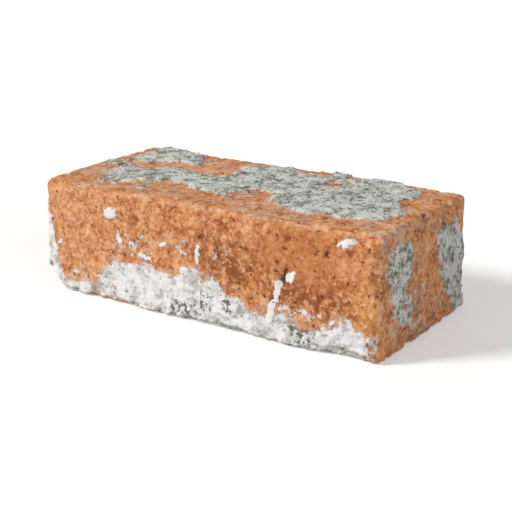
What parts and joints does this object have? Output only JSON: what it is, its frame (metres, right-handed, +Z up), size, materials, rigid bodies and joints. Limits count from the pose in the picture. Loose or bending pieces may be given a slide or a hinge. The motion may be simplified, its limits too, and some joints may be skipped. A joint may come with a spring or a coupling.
{
  "type": "clay brick",
  "caption": "Solid fired-clay brick with worn, chipped arrises, plain beds and patches of old mortar, laid in mortar to build walls.",
  "frame": {"origin": "middle of the lower bed, on the surface that the brick lies on", "axes": "+X along the brick's length, +Z up through its height from bed to bed, and the exposed stretcher face looks towards -Y"},
  "size_m": [0.2147, 0.1023, 0.065],
  "materials": {
    "fired_clay": "matt, porous, weathered orange-red fired clay with old limewash and mortar on it"
  },
  "bodies": {
    "root": {"brick": "fired_clay"}
  },
  "joints": []
}
